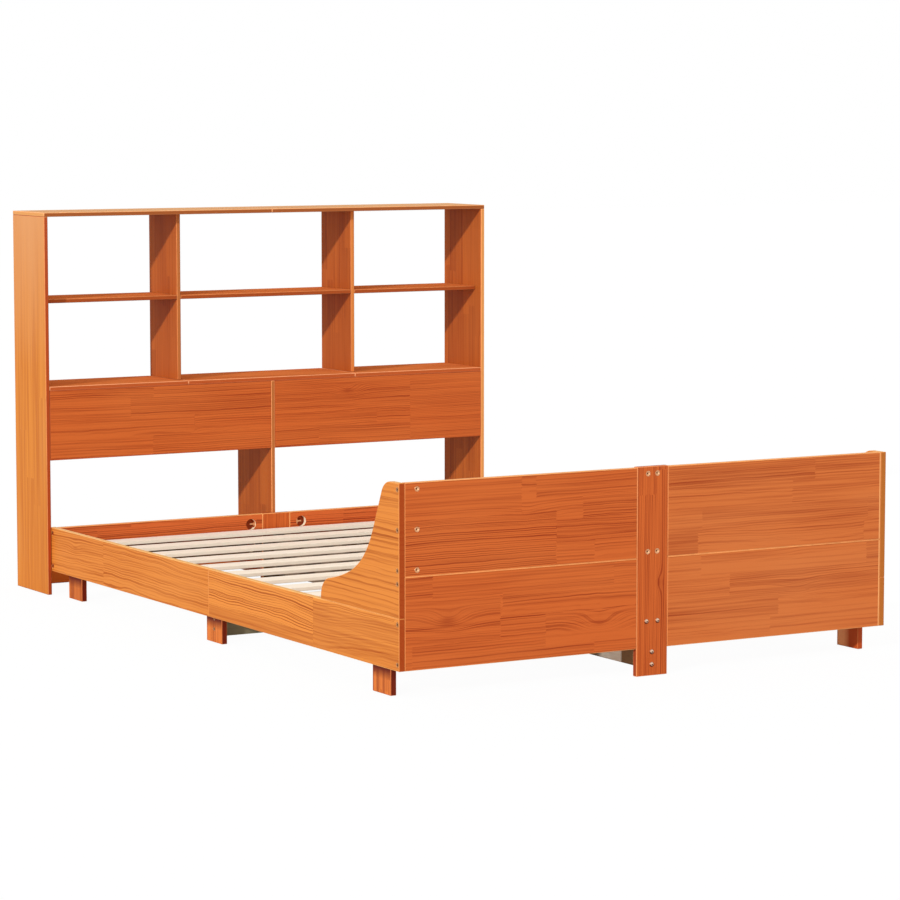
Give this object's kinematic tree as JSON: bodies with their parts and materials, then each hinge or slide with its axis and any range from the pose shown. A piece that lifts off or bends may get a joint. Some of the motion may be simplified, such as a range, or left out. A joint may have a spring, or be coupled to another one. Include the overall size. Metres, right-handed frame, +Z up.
{
  "type": "bed frame",
  "caption": "Double bed frame in solid pine with a high footboard, curved side wings, a slatted base and an open bookcase headboard.",
  "frame": {"origin": "on the floor, under the middle of the bounding box of the whole bed and its bookcase", "axes": "+X to the right as seen from the foot, +Y from the foot to the head, +Z up"},
  "size_m": [1.48, 2.284, 1.112],
  "materials": {
    "stained_pine": "honey-stained and waxed pine with rounded arrises, satin",
    "raw_pine": "planed pine without a finish, matt",
    "steel": "zinc-plated steel, dull"
  },
  "bodies": {
    "root": {"side_rail_left_foot": "stained_pine", "side_rail_left_head": "stained_pine", "side_rail_right_foot": "stained_pine", "side_rail_right_head": "stained_pine", "wing_left": "stained_pine", "wing_right": "stained_pine", "footboard_lower_left": "stained_pine", "footboard_lower_right": "stained_pine", "footboard_upper_left": "stained_pine", "footboard_upper_right": "stained_pine", "footboard_plank": "stained_pine", "head_rail_left": "stained_pine", "head_rail_right": "stained_pine", "head_plank": "stained_pine", "leg_left_foot": "stained_pine", "leg_left_middle": "stained_pine", "leg_left_head": "stained_pine", "leg_right_foot": "stained_pine", "leg_right_middle": "stained_pine", "leg_right_head": "stained_pine", "case_side_left": "stained_pine", "case_side_right": "stained_pine", "case_top_left": "stained_pine", "case_top_right": "stained_pine", "case_divider_left": "stained_pine", "case_divider_right": "stained_pine", "case_mid_shelf_left": "stained_pine", "case_mid_shelf_centre": "stained_pine", "case_mid_shelf_right": "stained_pine", "case_low_shelf_left": "stained_pine", "case_low_shelf_centre": "stained_pine", "case_low_shelf_right": "stained_pine", "case_panel_left": "stained_pine", "case_panel_right": "stained_pine", "case_upright": "stained_pine", "case_kick_board": "stained_pine", "footboard_batten": "raw_pine", "slat_cleat_left": "raw_pine", "slat_cleat_right": "raw_pine", "centre_beam": "raw_pine", "cross_beam": "raw_pine", "slat_1": "raw_pine", "slat_2": "raw_pine", "slat_3": "raw_pine", "slat_4": "raw_pine", "slat_5": "raw_pine", "slat_6": "raw_pine", "slat_7": "raw_pine", "slat_8": "raw_pine", "slat_9": "raw_pine", "slat_10": "raw_pine", "slat_11": "raw_pine", "slat_12": "raw_pine", "slat_13": "raw_pine", "dowels": "raw_pine", "side_bolts": "steel", "barrel_nuts": "steel", "domed_bolts": "steel", "pocket_bolts": "steel", "wood_screws": "steel"}
  },
  "joints": []
}
